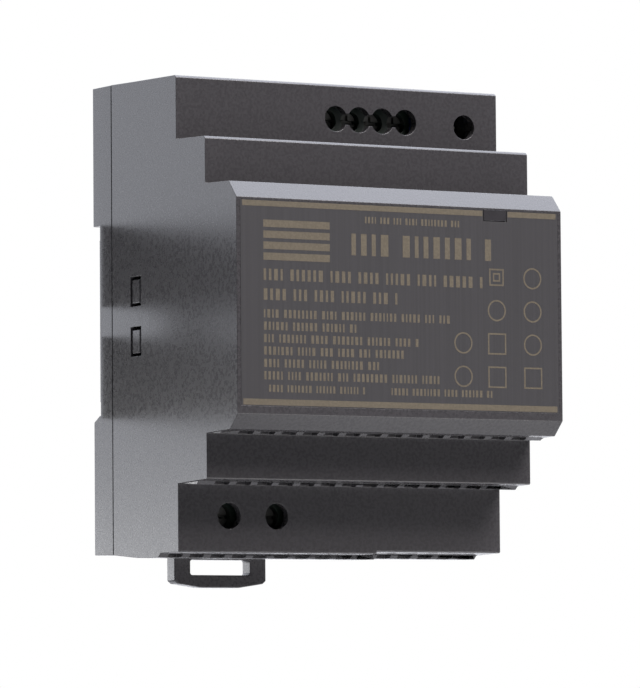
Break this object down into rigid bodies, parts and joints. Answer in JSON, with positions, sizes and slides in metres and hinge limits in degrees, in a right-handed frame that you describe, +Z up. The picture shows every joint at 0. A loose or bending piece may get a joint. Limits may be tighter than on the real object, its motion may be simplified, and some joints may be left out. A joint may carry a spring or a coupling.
{
  "type": "din rail power supply",
  "caption": "Stepped modular power supply in a dark plastic case that clips on a 35 mm rail, with screw terminals above and below, a label face and a sliding foot.",
  "frame": {"origin": "middle of the face that rests on the front of the 35 mm rail, half way up the rail", "axes": "+X right across the case, +Y back into the rail, +Z up; the label faces -Y"},
  "size_m": [0.07, 0.0545, 0.0949],
  "materials": {
    "case_plastic": "fine spark-eroded satin texture",
    "foot_plastic": "satin moulded plastic",
    "label_film": "matt printed film with bronze ink",
    "window_plastic": "smoked clear plastic, polished",
    "spring_steel": "drawn wire",
    "circuit_board": "green solder mask",
    "insulation_film": "translucent white film",
    "solder": "bright solder",
    "terminal_plastic": "satin moulded plastic",
    "contact_metal": "tin plated",
    "cage_metal": "nickel plated",
    "screw_steel": "zinc plated",
    "trimmer_body": "smooth moulded plastic",
    "trimmer_rotor": "white moulded plastic",
    "led_epoxy": "diffused green epoxy",
    "fuse_body": "smooth moulded plastic",
    "thermistor_coat": "dipped epoxy coat",
    "varistor_coat": "dipped epoxy coat",
    "film_box": "yellow moulded box",
    "choke_coat": "epoxy coated ferrite",
    "copper_wire": "enamelled copper",
    "moulded_epoxy": "black moulding compound",
    "capacitor_sleeve": "shrink sleeve over an aluminium can",
    "ferrite": "ground dark ferrite",
    "bobbin_plastic": "moulded phenolic",
    "winding_tape": "yellow polyester tape",
    "sink_aluminium": "mill finish",
    "disc_coat": "dipped epoxy coat",
    "coupler_body": "white moulding compound"
  },
  "bodies": {
    "case": {"front_housing": "case_plastic", "rear_cover": "case_plastic", "front_label": "label_film", "light_pipe": "window_plastic", "foot_spring": "spring_steel", "main_board": "circuit_board", "control_board": "circuit_board", "insulation_sheet": "insulation_film", "solder_joints": "solder", "output_terminal_block": "terminal_plastic", "input_terminal_block": "terminal_plastic", "output_contacts": "contact_metal", "input_contacts": "contact_metal", "trim_body": "trimmer_body", "status_led": "led_epoxy", "fuse": "fuse_body", "inrush_thermistor": "thermistor_coat", "surge_varistor": "varistor_coat", "line_capacitor": "film_box", "choke_core": "choke_coat", "choke_windings": "copper_wire", "bridge_rectifier": "moulded_epoxy", "bulk_capacitors": "capacitor_sleeve", "transformer_core": "ferrite", "transformer_bobbin": "bobbin_plastic", "transformer_winding": "winding_tape", "switch_transistor": "moulded_epoxy", "output_rectifier": "moulded_epoxy", "heat_sinks": "sink_aluminium", "heat_sink_screws": "screw_steel", "output_capacitors": "capacitor_sleeve", "output_choke": "copper_wire", "safety_capacitor": "disc_coat", "optocoupler": "coupler_body", "control_chip": "moulded_epoxy"},
    "foot": {"din_foot": "foot_plastic"},
    "trimmer": {"trim_rotor": "trimmer_rotor"},
    "output_screw_1": {"output_screw_1": "screw_steel"},
    "output_cage_1": {"output_cage_1": "cage_metal"},
    "output_screw_2": {"output_screw_2": "screw_steel"},
    "output_cage_2": {"output_cage_2": "cage_metal"},
    "output_screw_3": {"output_screw_3": "screw_steel"},
    "output_cage_3": {"output_cage_3": "cage_metal"},
    "output_screw_4": {"output_screw_4": "screw_steel"},
    "output_cage_4": {"output_cage_4": "cage_metal"},
    "input_screw_1": {"input_screw_1": "screw_steel"},
    "input_cage_1": {"input_cage_1": "cage_metal"},
    "input_screw_2": {"input_screw_2": "screw_steel"},
    "input_cage_2": {"input_cage_2": "cage_metal"}
  },
  "joints": [
    {"name": "foot_slide", "type": "slide", "parent": "case", "child": "foot", "axis": [0, 0, -1], "range_m": [0, 0.005], "stiffness_N_per_m": 1300, "springref_m": -0.006, "deforming": ["foot_spring"]},
    {"name": "output_cage_1_lift", "type": "slide", "parent": "case", "child": "output_cage_1", "axis": [0, -1, 0], "range_m": [0, 0.0027]},
    {"name": "output_screw_1_turn", "type": "hinge", "parent": "case", "child": "output_screw_1", "pos_m": [-0.0006, -0.023, 0.0372], "axis": [0, 1, 0], "range_deg": [0, 2161]},
    {"name": "output_cage_2_lift", "type": "slide", "parent": "case", "child": "output_cage_2", "axis": [0, -1, 0], "range_m": [0, 0.0027]},
    {"name": "output_screw_2_turn", "type": "hinge", "parent": "case", "child": "output_screw_2", "pos_m": [0.00448, -0.023, 0.0372], "axis": [0, 1, 0], "range_deg": [0, 2161]},
    {"name": "output_cage_3_lift", "type": "slide", "parent": "case", "child": "output_cage_3", "axis": [0, -1, 0], "range_m": [0, 0.0027]},
    {"name": "output_screw_3_turn", "type": "hinge", "parent": "case", "child": "output_screw_3", "pos_m": [0.00956, -0.023, 0.0372], "axis": [0, 1, 0], "range_deg": [0, 2161]},
    {"name": "output_cage_4_lift", "type": "slide", "parent": "case", "child": "output_cage_4", "axis": [0, -1, 0], "range_m": [0, 0.0027]},
    {"name": "output_screw_4_turn", "type": "hinge", "parent": "case", "child": "output_screw_4", "pos_m": [0.01464, -0.023, 0.0372], "axis": [0, 1, 0], "range_deg": [0, 2161]},
    {"name": "input_cage_1_lift", "type": "slide", "parent": "case", "child": "input_cage_1", "axis": [0, -1, 0], "range_m": [0, 0.0027]},
    {"name": "input_screw_1_turn", "type": "hinge", "parent": "case", "child": "input_screw_1", "pos_m": [-0.0242, -0.023, -0.0376], "axis": [0, 1, 0], "range_deg": [0, 1945]},
    {"name": "input_cage_2_lift", "type": "slide", "parent": "case", "child": "input_cage_2", "axis": [0, -1, 0], "range_m": [0, 0.0027]},
    {"name": "input_screw_2_turn", "type": "hinge", "parent": "case", "child": "input_screw_2", "pos_m": [-0.01404, -0.023, -0.0376], "axis": [0, 1, 0], "range_deg": [0, 1945]},
    {"name": "trimmer_turn", "type": "hinge", "parent": "case", "child": "trimmer", "pos_m": [0.0277, -0.015, 0.0369], "axis": [0, 1, 0], "range_deg": [-105, 105]}
  ],
  "couplings": [
    {"joint": "output_screw_1_turn", "follows": "output_cage_1_lift", "rad_per_m": 13963},
    {"joint": "output_screw_2_turn", "follows": "output_cage_2_lift", "rad_per_m": 13963},
    {"joint": "output_screw_3_turn", "follows": "output_cage_3_lift", "rad_per_m": 13963},
    {"joint": "output_screw_4_turn", "follows": "output_cage_4_lift", "rad_per_m": 13963},
    {"joint": "input_screw_1_turn", "follows": "input_cage_1_lift", "rad_per_m": 12566},
    {"joint": "input_screw_2_turn", "follows": "input_cage_2_lift", "rad_per_m": 12566}
  ]
}
